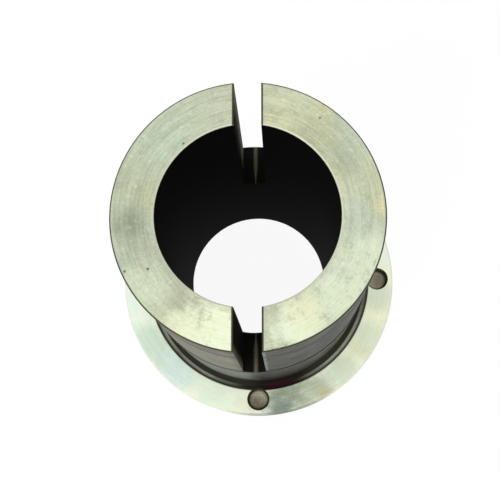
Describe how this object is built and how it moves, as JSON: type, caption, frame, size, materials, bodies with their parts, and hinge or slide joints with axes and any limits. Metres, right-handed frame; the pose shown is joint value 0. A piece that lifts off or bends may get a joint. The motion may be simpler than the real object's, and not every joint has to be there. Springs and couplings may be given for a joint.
{
  "type": "taper bush",
  "caption": "Flanged taper bush with a through bore, two opposite clamping slots and a ring of blind holes in the flange.",
  "frame": {"origin": "centre of the flange's lower face, on the bore axis", "axes": "+Z along the bore axis from the flange to the small end; the two slots open towards +Y and -Y"},
  "size_m": [0.111, 0.111, 0.127],
  "materials": {
    "zinc_steel": "turned steel with clear zinc passivate"
  },
  "bodies": {
    "root": {"bush": "zinc_steel"}
  },
  "joints": []
}
